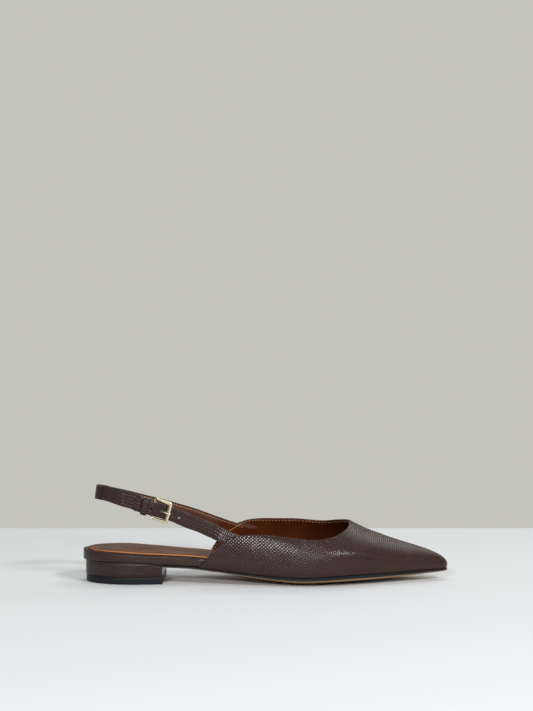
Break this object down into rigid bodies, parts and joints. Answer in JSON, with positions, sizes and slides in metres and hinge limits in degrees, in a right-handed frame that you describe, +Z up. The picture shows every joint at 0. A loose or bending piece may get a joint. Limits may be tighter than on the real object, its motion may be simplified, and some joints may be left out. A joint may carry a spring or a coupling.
{
  "type": "sling back flat",
  "caption": "Right sling back flat with a pointed toe, brown scale-embossed leather, tan lining, low covered heel and a pale gold buckle on the outer strap.",
  "frame": {"origin": "on the floor, midway between the back of the heel and the tip of the toe, and midway across the shoe", "axes": "+X to the toe, +Y to the inner side of the foot, +Z up"},
  "size_m": [0.2755, 0.0776, 0.0718],
  "materials": {
    "embossed_leather": "brown leather embossed with small lizard-like scales, semi-gloss",
    "strap_leather": "the same embossed leather outside, tan lining inside",
    "rand_leather": "embossed leather wrapped round the insole's edge",
    "heel_leather": "embossed leather cover on the heel block",
    "sock_leather": "smooth tan lining leather, soft sheen",
    "sole_leather": "tan sole leather with a black painted edge",
    "rubber": "black rubber, satin",
    "gilt": "pale gold plating, polished"
  },
  "bodies": {
    "root": {"upper": "embossed_leather", "outsole": "sole_leather", "insole": "rand_leather", "sock": "sock_leather", "heel_block": "heel_leather", "top_piece": "rubber", "sling_strap": "strap_leather", "billet_strap": "strap_leather", "strap_keeper": "strap_leather", "buckle_frame": "gilt", "buckle_prong": "gilt"}
  },
  "joints": []
}
